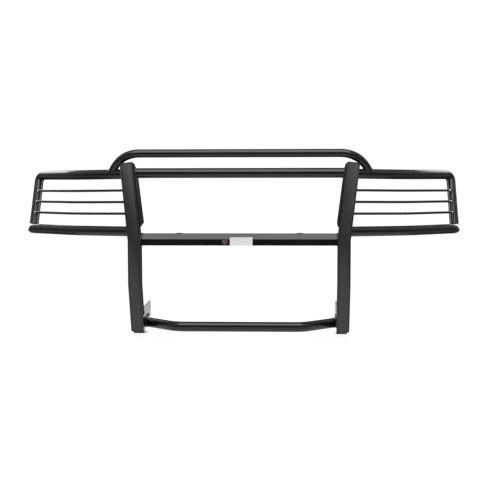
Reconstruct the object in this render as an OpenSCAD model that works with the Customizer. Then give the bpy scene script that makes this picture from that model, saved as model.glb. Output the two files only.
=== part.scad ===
// Front grille guard for a pickup truck.
// Two padded risers carry three crossbars, a hoop over the top and a
// wrap-around headlight wing on each side. Zinc plated brackets bolt to the
// lower tabs and reach back to the vehicle's frame.
//
// Axes: X across the vehicle, +Y to the rear, +Z up. The origin is at the
// middle of the guard, level with the underside of its feet.

/* [Tubing] */
// Outside diameter of the crossbars and wing tubes (1.5 inch)
tube_d = 38.1; // [36:0.1:40]
// Outside diameter of the top hoop (1.25 inch)
hoop_d = 31.8; // [28:0.1:34]
// Wall of all the tubes
tube_wall = 2; // [1.5:0.1:3]
// Diameter of the solid headlight slats (3/8 inch)
slat_d = 9.5; // [8:0.1:11]

/* [Risers] */
// Distance from the middle of the guard to the middle of a riser
riser_x = 396; // [390:1:402]
// Width of a riser and its pad
riser_w = 48.5; // [46:0.5:50]
// Depth of the riser channel behind its pad
riser_depth = 40; // [39:1:44]
// Thickness of the riser channel
riser_wall = 4; // [3:0.5:5]
// Thickness of the rubber pad
pad_t = 7; // [5:0.5:8]
// Height of the bend where the lower end starts to sweep back
lower_knee_z = 215; // [195:1:225]
// Height of the bend where the risers start to lean outwards
lean_knee_z = 387; // [384:1:392]
// Length of a riser above the lean bend
riser_upper = 291; // [286:1:294]
// Outward lean of the upper risers in degrees
lean = 7.5; // [6:0.1:8]
// Setback of the riser's top end
top_setback = 65; // [58:1:68]
// Setback of the riser's bottom end
bottom_setback = 70; // [62:1:74]

/* [Crossbars] */
// Height of the top crossbar
top_bar_z = 635; // [628:1:638]
// Setback of the top crossbar
top_bar_y = 80; // [78:1:84]
// Height of the folded middle crossbar
mid_bar_z = 383; // [380:1:386]
// Height of the middle crossbar's section
mid_bar_h = 44; // [40:1:46]
// Height of the lower crossbar
low_bar_z = 51; // [48:1:53]
// Setback of the lower crossbar's straight middle
low_bar_y = 27; // [24:1:36]
// Setback of the lower crossbar's ends
low_bar_end_y = 162; // [154:1:166]
// Distance from the middle to each bend of the lower crossbar
low_bar_bend_x = 243; // [230:1:260]

/* [Hoop] */
// Height of the hoop's straight middle
hoop_z = 710; // [700:1:716]
// Setback of the hoop's straight middle
hoop_y = 87; // [84:1:95]
// Distance from the middle to the corner of the hoop
hoop_corner_x = 451; // [444:1:454]
// Bend radius of the hoop
hoop_bend_r = 115; // [90:1:120]

/* [Wings] */
// Height of the wing's top tube at the riser
wing_top_z = 632; // [628:1:635]
// Height of the wing's bottom tube at the riser
wing_low_z = 415; // [411:1:418]
// Distance from the middle to the wing's outer corners
wing_tip_x = 851; // [840:1:860]
// Setback of the top outer corner
wing_top_y = 425; // [410:1:440]
// Setback of the bottom outer corner
wing_low_y = 260; // [250:1:270]
// Bend radius of the bottom tube's corner (1.5 tube diameters)
wing_low_bend_r = 57; // [52:1:60]
// Bend radius of the short elbow at the top corner
wing_elbow_r = 22; // [21:1:30]
// Distance between neighbouring slats
slat_pitch = 44; // [42:1:48]

/* [Brackets] */
// Thickness of the frame brackets
bracket_t = 6; // [5:0.5:7]
// Setback of the bracket's rear face
bracket_rear_y = 312; // [300:1:320]
// Height of the bracket's top edge
bracket_top_z = 112; // [104:1:116]
// Nominal diameter of the bracket bolts (M12)
bolt_d = 12; // [10:1:12]
// Setback of the front bracket bolt
bolt_y = 188; // [184:1:190]
// Distance between the two bracket bolts
bolt_pitch = 32; // [30:1:34]

/* [Hidden] */
$fn = 48;

// A length past every edge, for cutting
big = 1200;
// Overrun of a cutter past the face that it opens
over = 1;
// How far a tube's straight legs run into its bends, and a bend's extra radius
bend_lap = 1;
bend_swell = 0.25;
// Extra radius of a rounded corner, so that its arc crosses both of its sides
corner_swell = 0.05;

black = [0.13, 0.13, 0.135];
rubber = [0.20, 0.20, 0.20];
zinc = [0.78, 0.79, 0.76];

// Riser details
knee_gap = 10;          // between the lean bend and the start of the setback
riser_corner_r = 9;
pad_end_gap = 1;        // how far the pad's end stays below the riser's top
plate_t = 6;
foot_t = 6;
foot_rear_y = 189;
foot_front_z = 17;
foot_inset = 9;         // how far the foot stays inside the riser's outer side
foot_slot_w = 13;
foot_slot_l = 28;
foot_slot_y = 152;
riser_foot_z = foot_front_z + foot_t;
setback_rate = top_setback / (riser_upper - knee_gap);
sweep_rate = bottom_setback / (lower_knee_z - riser_foot_z);
foot_rate = foot_front_z / (foot_rear_y - bottom_setback);

// Bracket details
tab_h = 44;
tab_rear_y = 238;
tab_corner_r = 10;
clearance = 1;          // bolt hole over bolt diameter
bracket_front_y = 112;
bracket_flange = 54;
bracket_flange_h = 54;
bracket_corner_r = 12;
frame_slot_w = 13;
frame_slot_l = 20;
frame_slot_gap = 26;
side_slot_l = 28;
side_slot_in = 28;      // from the bracket's ends to the middle of a side slot
side_slot_drop = 22;    // from the bracket's top edge to the middle of a side slot
washer_d = 24;
washer_t = 2.5;
head_af = 18;
head_h = 7.5;
nut_h = 10;
bolt_tail = 5;

low_bar_bend_r = 90;

// Middle crossbar details
mid_bar_y = 32;         // setback of its front face
mid_bar_ridge = 2;      // how far the ridge stands above the middle of the section
mid_bar_slope = 12;     // depth of the face that slopes back from the ridge
mid_bar_depth = 36;
mid_bar_wall = 3;
light_x = 230;
light_hole_d = 13;
plug_d = 26;
plug_top_d = 21;
plug_h = 2.5;
plug_grip = 3;          // how far a plug reaches below the crossbar's wall
badge_w = 86;
badge_h = 31;
badge_t = 3;            // how far the badge stands in front of the crossbar
badge_back = 7;         // how far its notched back reaches over the ridge
badge_corner_r = 3;
badge_x = 8;
badge_z = 377;
button_d = 22;
button_x = -54;

// Wing details
wing_knee_x = 635;
wing_top_knee_y = 182;
wing_low_knee_y = 110;
wing_knee_r = 400;
wing_low_start_y = 24;
wing_top_drop = 12;
wing_low_drop = 5;
wing_low_rear_y = 332;
wing_post_y = 303;
post_end_gap = 3;       // from the post's end to the axis of the tube that it sits on
hoop_foot_share = 0.45; // where the hoop's legs land between the riser and the wing's knee
slat_middle = 0.49;     // place of the middle slat between the two wing tubes
slat_corner_x = 826;
slat_corner_y = 296;
slat_corner_step = [3, -17];
slat_knee_fore = 22;    // how far the slats' knees stand in front of the tubes' knees
slat_knee_r = 300;
slat_bend_r = 22;
cap_flange = 3;
cap_step = 1;           // how much smaller a cap's flange is than its tube
cap_plug = 14;

// ---------- Vector helpers ----------
function unit(v) = v / norm(v);
function turn(a, b) = acos(max(-1, min(1, a * b)));
function blend(a, b, t) = a + (b - a) * t;
function side_axis(d) = unit(cross(abs(d.z) > 0.9 ? [1, 0, 0] : [0, 0, 1], d));
function leg_dir(pts, i) = unit(pts[i + 1] - pts[i]);
function bend_angle(pts, i) = turn(leg_dir(pts, i - 1), leg_dir(pts, i));
function run_out(pts, radii, i) =
    (i == 0 || i == len(pts) - 1) ? 0 : radii[i] * tan(bend_angle(pts, i) / 2);
function leg_start(pts, radii, i) = pts[i] + leg_dir(pts, i) * run_out(pts, radii, i);
function leg_end(pts, radii, i) =
    pts[i + 1] - leg_dir(pts, i) * run_out(pts, radii, i + 1);
function carried(v, axis, a) =
    v * cos(a) + cross(axis, v) * sin(a) + axis * (axis * v) * (1 - cos(a));
// Direction across leg i, carried along the path without any twist
function leg_side(pts, i) =
    i == 0 ? side_axis(leg_dir(pts, 0))
    : carried(leg_side(pts, i - 1), bend_normal(pts, i), bend_angle(pts, i));
function bend_normal(pts, i) = unit(cross(leg_dir(pts, i - 1), leg_dir(pts, i)));
function bend_inward(pts, i) = cross(bend_normal(pts, i), leg_dir(pts, i - 1));
function bend_centre(pts, radii, i) =
    leg_end(pts, radii, i - 1) + bend_inward(pts, i) * radii[i];
function lengthened(pts, by) = [
    for (i = [0:len(pts) - 1])
        i == 0 ? pts[0] - leg_dir(pts, 0) * by
        : i == len(pts) - 1 ? pts[i] + leg_dir(pts, i - 1) * by
        : pts[i]
];

// ---------- Paths on the right-hand side, before centring ----------
wing_top_path = [
    [riser_x, top_bar_y, wing_top_z],
    [wing_knee_x, wing_top_knee_y, wing_top_z - wing_top_drop / 2],
    [wing_tip_x, wing_top_y, wing_top_z - wing_top_drop],
    [wing_tip_x, wing_post_y, wing_low_z - wing_low_drop + post_end_gap]
];
wing_top_radii = [0, wing_knee_r, wing_elbow_r, 0];
wing_low_path = [
    [riser_x, wing_low_start_y, wing_low_z],
    [wing_knee_x, wing_low_knee_y, wing_low_z - wing_low_drop / 2],
    [wing_tip_x, wing_low_y, wing_low_z - wing_low_drop],
    [wing_tip_x, wing_low_rear_y, wing_low_z - wing_low_drop]
];
wing_low_radii = [0, wing_knee_r, wing_low_bend_r, 0];
hoop_foot = blend(wing_top_path[0], wing_top_path[1], hoop_foot_share);
hoop_path = [
    [-hoop_foot.x, hoop_foot.y, hoop_foot.z],
    [-hoop_corner_x, hoop_y, hoop_z],
    [hoop_corner_x, hoop_y, hoop_z],
    hoop_foot
];
low_bar_path = [
    [-riser_x, low_bar_end_y, low_bar_z],
    [-low_bar_bend_x, low_bar_y, low_bar_z],
    [low_bar_bend_x, low_bar_y, low_bar_z],
    [riser_x, low_bar_end_y, low_bar_z]
];
low_bar_radii = [0, low_bar_bend_r, low_bar_bend_r, 0];

// Share of the way from the top wing tube to the bottom one for slat i
function slat_share(i) = slat_middle + (i - 1) * slat_pitch / (wing_top_z - wing_low_z);
// The bend at the outer end of slat i, which follows the slope of the post
function slat_corner(i) = [
    slat_corner_x + slat_corner_step.x * i,
    slat_corner_y + slat_corner_step.y * i,
    post_point(slat_share(i)).z
];
function post_point(t) = blend(wing_top_path[2], wing_top_path[3], t);
function slat_path(i) = [
    blend(wing_top_path[0], wing_low_path[0], slat_share(i)),
    blend(wing_top_path[1], wing_low_path[1], slat_share(i)) - [0, slat_knee_fore, 0],
    slat_corner(i),
    post_point(slat_share(i))
];
slat_radii = [0, slat_knee_r, slat_bend_r, 0];

// The rearmost point of the guard is on the bend at the wing's top corner
corner_normal = bend_normal(wing_top_path, 2);
guard_depth = bend_centre(wing_top_path, wing_top_radii, 2).y
    + wing_elbow_r * sqrt(1 - corner_normal.y * corner_normal.y) + tube_d / 2 + bend_swell;

// ---------- General modules ----------
module centred() translate([0, -guard_depth / 2, 0]) children();

module mirrored() mirror([1, 0, 0]) children();

module on_axes(o, x, y, z) {
    multmatrix([
        [x.x, y.x, z.x, o.x],
        [x.y, y.y, z.y, o.y],
        [x.z, y.z, z.z, o.z],
        [0, 0, 0, 1]
    ]) children();
}

module straight(pts, radii, i, r) {
    d = leg_dir(pts, i);
    a = leg_start(pts, radii, i) - d * (i > 0 ? bend_lap : 0);
    b = leg_end(pts, radii, i) + d * (i < len(pts) - 2 ? bend_lap : 0);
    on_axes(a, leg_side(pts, i), cross(d, leg_side(pts, i)), d)
        cylinder(r = r, h = norm(b - a));
}

// A bend is a hair fatter than the straight legs, which run a little way into
// it, so that all the surfaces cross cleanly where they join
module bend(pts, radii, i, r) {
    inward = bend_inward(pts, i);
    normal = bend_normal(pts, i);
    side = leg_side(pts, i - 1);
    on_axes(bend_centre(pts, radii, i), -inward, leg_dir(pts, i - 1), normal)
        rotate_extrude(angle = bend_angle(pts, i))
            translate([radii[i], 0]) rotate(atan2(side * normal, -side * inward))
                circle(r = r + bend_swell);
}

module bar(pts, radii, r) {
    for (i = [0:len(pts) - 2])
        straight(pts, radii, i, r);
    for (i = [1:len(pts) - 2])
        bend(pts, radii, i, r);
}

module tube(pts, radii, d) {
    difference() {
        bar(pts, radii, d / 2);
        bar(lengthened(pts, over), radii, d / 2 - tube_wall);
    }
}

// Rounded rectangle from flat pieces, centred in X and standing on Y = 0
module tablet(w, h, r) {
    translate([-w / 2, r]) square([w, h - 2 * r]);
    translate([-w / 2 + r, 0]) square([w - 2 * r, h]);
    for (x = [-w / 2 + r, w / 2 - r], y = [r, h - r])
        translate([x, y]) circle(r = r);
}

// Slot centred on the origin with its length along X
module slot_shape(w, l) {
    square([l - w, w], center = true);
    for (x = [-1, 1])
        translate([x * (l - w) / 2, 0]) circle(d = w);
}

// ---------- Riser frame ----------
// The children of lean_frame are drawn with the lean bend as their origin
module lean_frame(turned) translate([riser_x, 0, lean_knee_z]) rotate([0, turned, 0]) children();

// A point of the leaning part in front view, from the lean bend
function leaned(x, h) = [x * cos(lean) + h * sin(lean), h * cos(lean) - x * sin(lean)];
// Front view of the strip between two lines along the riser, from the lean bend
function front_strip(from, to, top) = [
    [from, -big],
    [from, -from * tan(lean / 2)],
    leaned(from, top),
    leaned(to, top),
    [to, -to * tan(lean / 2)],
    [to, -big]
];

// The space between two lines along the riser, up to its end
module riser_zone(from, to, top = big) {
    lean_frame(0) rotate([90, 0, 0]) linear_extrude(2 * big, center = true)
        polygon(front_strip(from, to, top));
}

// Extrudes a side outline across the riser between two X values
module across(from, to) {
    translate([from, 0, 0]) rotate([90, 0, 90]) linear_extrude(to - from) children();
}

// Height where a surface that runs y behind the riser's front meets a line
// that is parallel to the foot plate and raised by lift
function foot_z(y, lift) =
    (riser_foot_z + lift - (y + sweep_rate * riser_foot_z) * foot_rate)
    / (1 - sweep_rate * foot_rate);

// Everything behind such a surface: the lower end sweeps back from the lower
// knee, and the upper end is set back from just above the lean bend
module behind(y, lift) {
    low = foot_z(y, lift);
    low_y = y + sweep_rate * (lower_knee_z - low);
    intersection() {
        translate([riser_x, 0, 0]) across(-big, big) polygon([
            [y, big],
            [y, lower_knee_z],
            [low_y, low],
            [low_y + big, low - big * foot_rate],
            [low_y + big, big]
        ]);
        lean_frame(lean) across(-big, big) polygon([
            [y - setback_rate * big, knee_gap - big],
            [y + setback_rate * big, knee_gap + big],
            [y + big, knee_gap + big],
            [y + big, knee_gap - big]
        ]);
    }
}

// A layer of the riser, from one depth to another behind its front
module riser_layer(half, from, to, lift, top) {
    difference() {
        intersection() {
            riser_zone(-half, half, top);
            behind(from, lift);
        }
        behind(to, lift - riser_w);
    }
}

// Cutters that round both corners of an end of the riser: side 1 is its top
module corner_cuts(turned, end, side, r) {
    reach = r + over;
    lean_frame(turned) for (x = [-1, 1])
        translate([x * (riser_w / 2 - r), 0, end - side * r])
            rotate([90, 0, 0]) linear_extrude(2 * big, center = true) difference() {
                translate([min(0, x) * reach, min(0, side) * reach]) square(reach);
                circle(r = r + corner_swell);
            }
}

module riser_shape() {
    difference() {
        riser_layer(riser_w / 2, pad_t, pad_t + riser_depth, 0, riser_upper);
        riser_layer(riser_w / 2 - riser_wall, pad_t + riser_wall, pad_t + riser_depth + over,
            riser_wall, riser_upper - riser_wall);
        corner_cuts(lean, riser_upper, 1, riser_corner_r);
    }
}

module pad_shape() {
    difference() {
        riser_layer(riser_w / 2, 0, pad_t, 0, riser_upper - pad_end_gap);
        corner_cuts(lean, riser_upper - pad_end_gap, 1, riser_corner_r);
        corner_cuts(0, foot_z(0, 0) - lean_knee_z, -1, riser_corner_r);
    }
}

// ---------- Plates ----------
// Side view of the side plate, as points of Y and height from the lean bend
side_plate_outline = [[18, 42], [119, 52], [142, 250], [82, 283], [66, 275]];
module side_plate_shape() {
    lean_frame(lean) across(-riser_w / 2 - plate_t, -riser_w / 2) polygon(side_plate_outline);
}

module foot_shape() {
    y0 = bottom_setback + pad_t;
    z0 = foot_front_z - pad_t * foot_rate;
    difference() {
        translate([riser_x, 0, 0]) across(-riser_w / 2, riser_w / 2 - foot_inset) polygon([
            [y0, z0],
            [foot_rear_y, 0],
            [foot_rear_y, foot_t],
            [y0, z0 + foot_t]
        ]);
        translate([riser_x, foot_slot_y, -over])
            linear_extrude(foot_front_z + foot_t) slot_shape(foot_slot_w, foot_slot_l);
    }
}

module bolt_holes(d) {
    for (i = [0, 1])
        translate([0, bolt_y + i * bolt_pitch, low_bar_z]) rotate([0, 90, 0])
            cylinder(d = d, h = big);
}

module bracket_tab_shape() {
    x0 = riser_x - riser_w / 2;
    low = low_bar_z - tab_h / 2;
    high = low_bar_z + tab_h / 2;
    rear = pad_t + riser_depth;
    difference() {
        intersection() {
            translate([x0, 0, 0]) across(0, riser_wall) polygon([
                [rear + sweep_rate * (lower_knee_z - low), low],
                [tab_rear_y, low],
                [tab_rear_y, high],
                [rear + sweep_rate * (lower_knee_z - high), high]
            ]);
            translate([x0, 0, low]) across(0, riser_wall)
                translate([tab_rear_y - big / 2, 0]) tablet(big, tab_h, tab_corner_r);
        }
        bolt_holes(bolt_d + clearance);
    }
}

module frame_bracket_shape() {
    x0 = riser_x - riser_w / 2 + riser_wall;
    low = low_bar_z - tab_h / 2;
    h = bracket_top_z - low;
    l = bracket_rear_y - bracket_front_y;
    difference() {
        union() {
            translate([x0, bracket_front_y + l / 2, low]) across(0, bracket_t)
                tablet(l + bracket_corner_r, h, bracket_corner_r);
            translate([x0, bracket_rear_y - bracket_t, low])
                cube([bracket_flange, bracket_t, bracket_flange_h]);
        }
        translate([x0 - over, bracket_rear_y, low - over])
            cube([bracket_flange + 2 * over, big, h + 2 * over]);
        bolt_holes(bolt_d + clearance);
        // Upright adjusting slots in the side of the bracket
        for (y = [bracket_front_y + side_slot_in, bracket_rear_y - side_slot_in])
            translate([x0 - over, y, bracket_top_z - side_slot_drop]) across(0, bracket_t + 2 * over)
                rotate(90) slot_shape(frame_slot_w, side_slot_l);
        // Upright slots in the flange that meets the vehicle's frame
        for (z = [-1, 1])
            translate([x0 + (bracket_t + bracket_flange) / 2,
                    bracket_rear_y + over, low + (bracket_flange_h + z * frame_slot_gap) / 2])
                rotate([90, 90, 0]) linear_extrude(bracket_t + 2 * over)
                    slot_shape(frame_slot_w, frame_slot_l);
    }
}

// ---------- Crossbars ----------
function mid_section(inset) =
    let (f = mid_bar_y + inset, b = mid_bar_y + mid_bar_depth - inset,
         s = mid_bar_y + mid_bar_slope + inset / 2, h = mid_bar_h / 2 - inset)
    [[f, mid_bar_ridge - inset / 4], [s, h], [b, h], [b, -h], [f, -h]];

// Front outline of the middle crossbar, whose ends follow the risers' lean bend
function mid_bar_front() =
    let (a = riser_x - riser_w / 2,
         h = mid_bar_h / 2,
         knee = lean_knee_z + riser_w / 2 * tan(lean / 2) - mid_bar_z,
         b = a + (h - knee) * tan(lean))
    [[-a, -h], [a, -h], [a, knee], [b, h], [-b, h], [-a, knee]];

module mid_bar_shape() {
    difference() {
        translate([0, 0, mid_bar_z]) intersection() {
            across(-riser_x, riser_x) difference() {
                polygon(mid_section(0));
                polygon(mid_section(mid_bar_wall));
            }
            translate([0, big, 0]) rotate([90, 0, 0]) linear_extrude(2 * big)
                polygon(mid_bar_front());
        }
        for (x = [-light_x, light_x])
            translate([x, light_hole_y(), mid_bar_z + mid_bar_h / 2 - mid_bar_wall - over])
                cylinder(d = light_hole_d, h = mid_bar_wall + 2 * over);
    }
}
// Setback of the holes for auxiliary lights, in the middle of the flat top
function light_hole_y() = mid_bar_y + (mid_bar_slope + mid_bar_depth) / 2;

// Gives a flat piece a notched back that fits over the crossbar's ridge
module on_ridge(x) {
    difference() {
        translate([x, mid_bar_y + badge_back, badge_z]) rotate([90, 0, 0])
            linear_extrude(badge_t + badge_back) children();
        translate([0, 0, mid_bar_z]) across(-riser_x, riser_x) polygon(mid_section(0));
    }
}

// ---------- Sub-parts ----------
module riser_right() color(black) centred() riser_shape();
module riser_left() color(black) centred() mirrored() riser_shape();
module riser_pad_right() color(rubber) centred() pad_shape();
module riser_pad_left() color(rubber) centred() mirrored() pad_shape();
module side_plate_right() color(black) centred() side_plate_shape();
module side_plate_left() color(black) centred() mirrored() side_plate_shape();
module foot_right() color(black) centred() foot_shape();
module foot_left() color(black) centred() mirrored() foot_shape();
module bracket_tab_right() color(black) centred() bracket_tab_shape();
module bracket_tab_left() color(black) centred() mirrored() bracket_tab_shape();
module frame_bracket_right() color(zinc) centred() frame_bracket_shape();
module frame_bracket_left() color(zinc) centred() mirrored() frame_bracket_shape();

module top_crossbar() color(black) centred() difference() {
    tube([[-riser_x - riser_w, top_bar_y, top_bar_z], [riser_x + riser_w, top_bar_y, top_bar_z]],
        [0, 0], tube_d);
    for (side = [0, 1])
        mirror([side, 0, 0]) riser_zone(-riser_w / 2 - plate_t, big);
}

module mid_crossbar() color(black) centred() mid_bar_shape();

module lower_crossbar() color(black) centred() difference() {
    tube(low_bar_path, low_bar_radii, tube_d);
    for (side = [0, 1])
        mirror([side, 0, 0]) riser_zone(-riser_w / 2, big);
}

module top_hoop() color(black) centred() difference() {
    tube(hoop_path, [0, hoop_bend_r, hoop_bend_r, 0], hoop_d);
    for (side = [0, 1])
        mirror([side, 0, 0]) bar(wing_top_path, wing_top_radii, tube_d / 2);
}

module wing_top_shape() {
    difference() {
        tube(wing_top_path, wing_top_radii, tube_d);
        riser_zone(-big, riser_w / 2);
        bar(wing_low_path, wing_low_radii, tube_d / 2);
    }
}
module wing_top_tube_right() color(black) centred() wing_top_shape();
module wing_top_tube_left() color(black) centred() mirrored() wing_top_shape();

module wing_low_shape() {
    difference() {
        tube(wing_low_path, wing_low_radii, tube_d);
        riser_zone(-big, riser_w / 2);
    }
}
module wing_bottom_tube_right() color(black) centred() wing_low_shape();
module wing_bottom_tube_left() color(black) centred() mirrored() wing_low_shape();

module slat_shape(i) {
    difference() {
        bar(slat_path(i), slat_radii, slat_d / 2);
        riser_zone(-big, riser_w / 2);
        bar(wing_top_path, wing_top_radii, tube_d / 2);
    }
}
module slat_upper_right() color(black) centred() slat_shape(0);
module slat_upper_left() color(black) centred() mirrored() slat_shape(0);
module slat_middle_right() color(black) centred() slat_shape(1);
module slat_middle_left() color(black) centred() mirrored() slat_shape(1);
module slat_lower_right() color(black) centred() slat_shape(2);
module slat_lower_left() color(black) centred() mirrored() slat_shape(2);

// Push-in caps that close the rear ends of the bottom wing tubes
module wing_end_caps() color(rubber) centred() for (side = [0, 1]) mirror([side, 0, 0])
    translate(wing_low_path[3]) rotate([-90, 0, 0]) {
        cylinder(d = tube_d - cap_step, h = cap_flange);
        translate([0, 0, -cap_plug]) cylinder(d = tube_d - 2 * tube_wall, h = cap_plug);
    }

// Places its children at each bracket bolt, with +Z along the bolt
module at_bolts(x) {
    for (side = [0, 1], i = [0, 1])
        mirror([side, 0, 0]) translate([x, bolt_y + i * bolt_pitch, low_bar_z])
            rotate([0, 90, 0]) children();
}
tab_face_x = riser_x - riser_w / 2;
grip = riser_wall + bracket_t;

module bracket_bolts() color(zinc) centred() at_bolts(tab_face_x - washer_t) {
    cylinder(d = bolt_d, h = grip + 2 * washer_t + nut_h + bolt_tail);
    translate([0, 0, -head_h]) cylinder(d = head_af / cos(30), h = head_h, $fn = 6);
}

module washer() difference() {
    cylinder(d = washer_d, h = washer_t);
    translate([0, 0, -over]) cylinder(d = bolt_d + clearance, h = washer_t + 2 * over);
}
module bracket_washers() color(zinc) centred() at_bolts(tab_face_x - washer_t) {
    washer();
    translate([0, 0, grip + washer_t]) washer();
}

module bracket_nuts() color(zinc) centred() at_bolts(tab_face_x + grip + washer_t)
    difference() {
        cylinder(d = head_af / cos(30), h = nut_h, $fn = 6);
        translate([0, 0, -over]) cylinder(d = bolt_d, h = nut_h + 2 * over);
    }

// Flanged plugs that close the holes for auxiliary lights
module light_hole_plugs() color(rubber) centred() for (x = [-light_x, light_x])
    translate([x, light_hole_y(), mid_bar_z + mid_bar_h / 2]) {
        cylinder(d1 = plug_d, d2 = plug_top_d, h = plug_h);
        translate([0, 0, -mid_bar_wall - plug_grip])
            cylinder(d = light_hole_d, h = mid_bar_wall + plug_grip);
    }

module badge_plate() color([0.93, 0.93, 0.93]) centred() on_ridge(badge_x)
    translate([0, -badge_h / 2]) tablet(badge_w, badge_h, badge_corner_r);
module badge_button() color([0.35, 0.2, 0.2]) centred() on_ridge(button_x)
    circle(d = button_d);

riser_right();
riser_left();
riser_pad_right();
riser_pad_left();
side_plate_right();
side_plate_left();
foot_right();
foot_left();
bracket_tab_right();
bracket_tab_left();
top_crossbar();
mid_crossbar();
lower_crossbar();
top_hoop();
wing_top_tube_right();
wing_top_tube_left();
wing_bottom_tube_right();
wing_bottom_tube_left();
slat_upper_right();
slat_upper_left();
slat_middle_right();
slat_middle_left();
slat_lower_right();
slat_lower_left();
wing_end_caps();
frame_bracket_right();
frame_bracket_left();
bracket_bolts();
bracket_washers();
bracket_nuts();
light_hole_plugs();
badge_plate();
badge_button();
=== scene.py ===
# %% [markdown]
# # A front grille guard for a pickup truck
# The guard is welded from steel tube: two padded risers carry three crossbars,
# a hoop over the top and a wrap-around headlight wing on each side. Everything
# is powder coated black, apart from the rubber pads and the zinc plated
# brackets that reach back to the vehicle's frame.
#
# The imported model is loaded first, as a fixed frame. Every new piece takes its
# place from it, and the box that the frame fills is kept.

import math

import bmesh
import bpy
from mathutils import Matrix, Vector


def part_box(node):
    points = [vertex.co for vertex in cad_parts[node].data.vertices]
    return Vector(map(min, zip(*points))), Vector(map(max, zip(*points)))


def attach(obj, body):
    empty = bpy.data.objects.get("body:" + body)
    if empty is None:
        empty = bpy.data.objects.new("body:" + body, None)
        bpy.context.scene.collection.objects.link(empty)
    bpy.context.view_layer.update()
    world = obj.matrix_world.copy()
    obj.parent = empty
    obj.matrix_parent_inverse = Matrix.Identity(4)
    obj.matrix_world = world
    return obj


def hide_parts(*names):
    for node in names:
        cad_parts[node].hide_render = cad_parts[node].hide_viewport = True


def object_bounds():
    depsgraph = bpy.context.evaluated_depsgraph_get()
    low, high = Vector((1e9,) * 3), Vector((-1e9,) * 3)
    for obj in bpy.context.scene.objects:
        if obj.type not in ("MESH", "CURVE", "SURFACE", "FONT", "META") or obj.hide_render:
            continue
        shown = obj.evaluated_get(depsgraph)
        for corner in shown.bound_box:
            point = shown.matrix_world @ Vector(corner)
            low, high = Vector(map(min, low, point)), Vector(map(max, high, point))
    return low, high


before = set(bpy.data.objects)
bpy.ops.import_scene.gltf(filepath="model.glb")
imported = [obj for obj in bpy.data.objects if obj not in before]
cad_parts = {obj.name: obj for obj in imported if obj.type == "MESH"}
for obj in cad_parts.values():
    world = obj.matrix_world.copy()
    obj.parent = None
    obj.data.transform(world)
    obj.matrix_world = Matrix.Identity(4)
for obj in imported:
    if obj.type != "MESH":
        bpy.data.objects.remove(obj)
frame_low, frame_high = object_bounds()
BODY = "root"
print("nodes:", len(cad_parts), "size:", [round(v, 4) for v in frame_high - frame_low])

# %% [markdown]
# ## Places on the guard
# The tubes are drawn in millimetres, from the middle of the guard in X, from
# the front of the pads in Y and from the underside of the feet in Z. The
# model's origin is in the middle of its depth, so a place is moved forward by
# half of that depth, which the frame's box gives.

# %% From drawing to metres
MM = 0.001
HALF_DEPTH = frame_high.y


def spot(x, y, z):
    return Vector((x * MM, y * MM - HALF_DEPTH, z * MM))


def between(a, b, share):
    return a + (b - a) * share


TUBE_R = 19.05 * MM
HOOP_R = 15.9 * MM
SLAT_R = 4.75 * MM
RISER_X, RISER_W = 396, 48.5
LEAN_Z, LEAN = 387, math.radians(7.5)
SIDE_PLATE_T = 6
print("half depth:", round(HALF_DEPTH, 4), "m")

# %% [markdown]
# ## The camera
# The guard is seen almost from straight ahead, from the height of its top and
# two hands' breadth to its right. A piece this wide is best shown through a long
# lens from about four metres, which keeps both wings alike. The camera also
# leans over by a sixth of a degree, so that the bars aren't quite level.

# %% Camera
CAMERA_PLACE = spot(190.4, -3999.3, 717.1)
CAMERA_TURN = 2.654      # degrees round the vertical
CAMERA_DOWN = 4.741      # degrees below level
CAMERA_ROLL = -0.157
CAMERA_LENS = 80.17      # on a sensor 36 mm wide


def make_camera():
    lens = bpy.data.cameras.new("product_camera")
    lens.lens = CAMERA_LENS
    lens.sensor_width = 36
    lens.clip_end = 60
    camera = bpy.data.objects.new("product_camera", lens)
    bpy.context.scene.collection.objects.link(camera)
    turn = Matrix.Rotation(math.radians(CAMERA_TURN), 4, "Z")
    tilt = Matrix.Rotation(math.radians(90 - CAMERA_DOWN), 4, "X")
    roll = Matrix.Rotation(math.radians(CAMERA_ROLL), 4, "Z")
    camera.matrix_world = Matrix.Translation(CAMERA_PLACE) @ turn @ tilt @ roll
    bpy.context.scene.camera = camera
    print("camera:", round((CAMERA_PLACE - Vector((0, 0, 0.36))).length, 2), "m away")


make_camera()

# %% [markdown]
# ## Node trees
# All the finishes are made from a few kinds of node, so a small helper adds a
# node and sets its sockets. Colours and roughness that vary come
# from noise, read at Object coordinates, which don't slide when a piece is
# seen from another side and don't need a UV map.

# %% Helpers for node trees


def add_node(tree, kind, settings=None, **sockets):
    node = tree.nodes.new(kind)
    for name, value in (settings or {}).items():
        setattr(node, name, value)
    for name, value in sockets.items():
        key = name.replace("_", " ")
        if isinstance(value, bpy.types.NodeSocket):
            tree.links.new(value, node.inputs[key])
        else:
            node.inputs[key].default_value = value
    return node


def new_material(name):
    material = bpy.data.materials.new(name)
    material.use_nodes = True
    tree = material.node_tree
    shader = tree.nodes["Principled BSDF"]
    place = add_node(tree, "ShaderNodeTexCoord").outputs["Object"]
    return material, tree, shader, place


def noise(tree, place, scale, detail=2.0, roughness=0.5):
    return add_node(tree, "ShaderNodeTexNoise", Vector=place, Scale=scale, Detail=detail,
                    Roughness=roughness).outputs["Fac"]


def spread(tree, value, low, high, start=0.3, end=0.7):
    """Maps a noise value to the range from low to high."""
    node = add_node(tree, "ShaderNodeMapRange", {"clamp": True})
    tree.links.new(value, node.inputs["Value"])
    for key, number in (("From Min", start), ("From Max", end), ("To Min", low), ("To Max", high)):
        node.inputs[key].default_value = number
    return node.outputs["Result"]


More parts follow.
